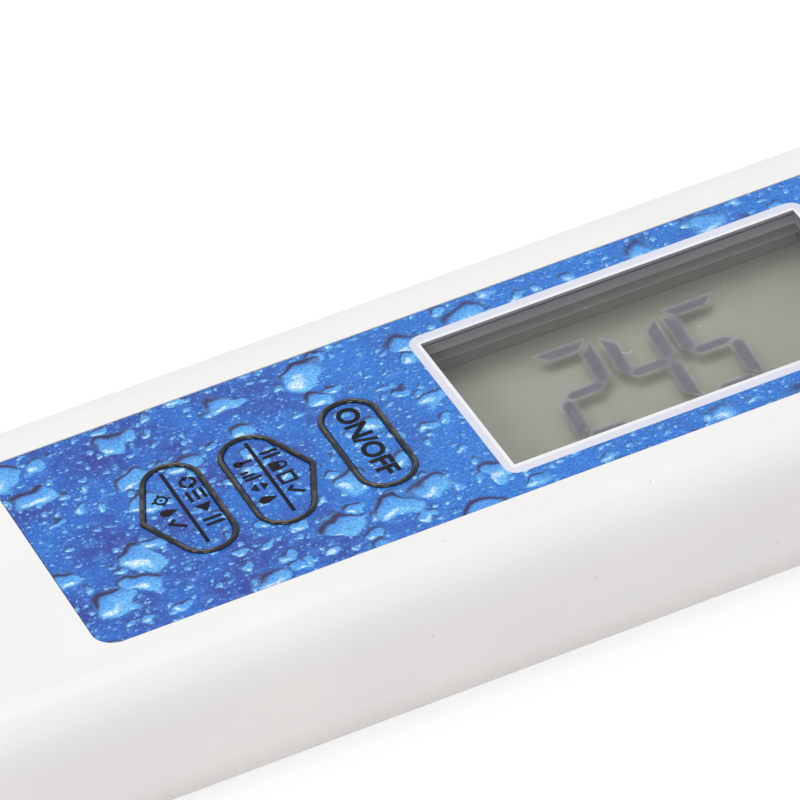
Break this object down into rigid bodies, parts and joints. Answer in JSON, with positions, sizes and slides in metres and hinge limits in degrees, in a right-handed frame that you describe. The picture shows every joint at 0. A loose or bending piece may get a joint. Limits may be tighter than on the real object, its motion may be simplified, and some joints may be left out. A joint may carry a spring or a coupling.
{
  "type": "water quality tester",
  "caption": "Flat pen-shaped water quality tester with a printed film, raised-rim keys, a digital display window, a sensor probe under a pull-off cap and a pull-off battery cap.",
  "frame": {"origin": "middle of the length and width of the whole tester, on its flat back", "axes": "+X along the body from the probe to the battery end, +Z out of the keys and display"},
  "size_m": [0.1824, 0.0416, 0.0147],
  "materials": {
    "white_shell": "glossy satin moulded ABS, white",
    "white_cap": "glossy satin moulded ABS, white",
    "printed_film": "blue printed polyester film",
    "key_outline": "raised glossy black outline",
    "clear_pane": "clear pane",
    "bezel_grey": "matt grey moulding",
    "display_glass": "clear display glass",
    "reflector": "grey-green display backing",
    "holder_plastic": "plain white moulding",
    "strip_rubber": "layered elastomer strip",
    "board": "green coated board",
    "chip": "black moulded package",
    "component": "small ceramic parts",
    "can": "plated can",
    "switch_body": "black switch body",
    "switch_stem": "switch plunger",
    "connector": "cream connector",
    "lead": "insulated leads",
    "screw": "plated steel",
    "seal": "black rubber",
    "dark_plastic": "black moulding",
    "cell": "nickel-plated cell",
    "contact": "plated spring contact",
    "potting": "cast resin",
    "electrode_glass": "thin clear glass",
    "silver_wire": "silver wire",
    "junction": "porous ceramic",
    "pin": "polished pins",
    "sponge": "soft storage sponge"
  },
  "bodies": {
    "housing": {"front_shell": "white_shell", "rear_shell": "white_shell", "housing_seal": "seal", "housing_screws": "screw", "label_overlay": "printed_film", "key_rims": "key_outline", "key_switches": "switch_body", "display_window": "clear_pane", "display_bezel": "bezel_grey", "lcd_front_glass": "display_glass", "lcd_rear_glass": "display_glass", "lcd_reflector": "reflector", "lcd_holder": "holder_plastic", "zebra_strips": "strip_rubber", "main_board": "board", "controller_chip": "chip", "amplifier_chip": "chip", "small_components": "component", "clock_crystal": "can", "board_screws": "screw", "probe_socket": "connector", "probe_leads": "lead", "battery_holder": "dark_plastic", "battery_cells": "cell", "battery_spring": "contact", "battery_plate": "contact", "battery_spring_plate": "contact", "battery_cap_seal": "seal", "probe_holder": "dark_plastic", "probe_potting": "potting", "cap_seal": "seal", "probe_guard": "dark_plastic", "ph_electrode": "electrode_glass", "ph_inner_wire": "silver_wire", "reference_junction": "junction", "conductivity_pins": "pin", "temperature_sensor": "pin"},
    "power_key": {"power_key": "printed_film", "power_switch_stem": "switch_stem"},
    "hold_key": {"hold_key": "printed_film", "hold_switch_stem": "switch_stem"},
    "mode_key": {"mode_key": "printed_film", "mode_switch_stem": "switch_stem"},
    "protective_cap": {"protective_cap": "white_cap", "storage_sponge": "sponge"},
    "battery_cap": {"battery_cap": "white_cap"}
  },
  "joints": [
    {"name": "power_press", "type": "slide", "parent": "housing", "child": "power_key", "axis": [0, 0, -1], "range_m": [0, 0.0003], "stiffness_N_per_m": 3000},
    {"name": "hold_press", "type": "slide", "parent": "housing", "child": "hold_key", "axis": [0, 0, -1], "range_m": [0, 0.0003], "stiffness_N_per_m": 3000},
    {"name": "mode_press", "type": "slide", "parent": "housing", "child": "mode_key", "axis": [0, 0, -1], "range_m": [0, 0.0003], "stiffness_N_per_m": 3000},
    {"name": "protective_cap_pull", "type": "slide", "parent": "housing", "child": "protective_cap", "axis": [-1, 0, 0], "range_m": [0, 0.045]},
    {"name": "battery_cap_pull", "type": "slide", "parent": "housing", "child": "battery_cap", "axis": [1, 0, 0], "range_m": [0, 0.02]}
  ]
}
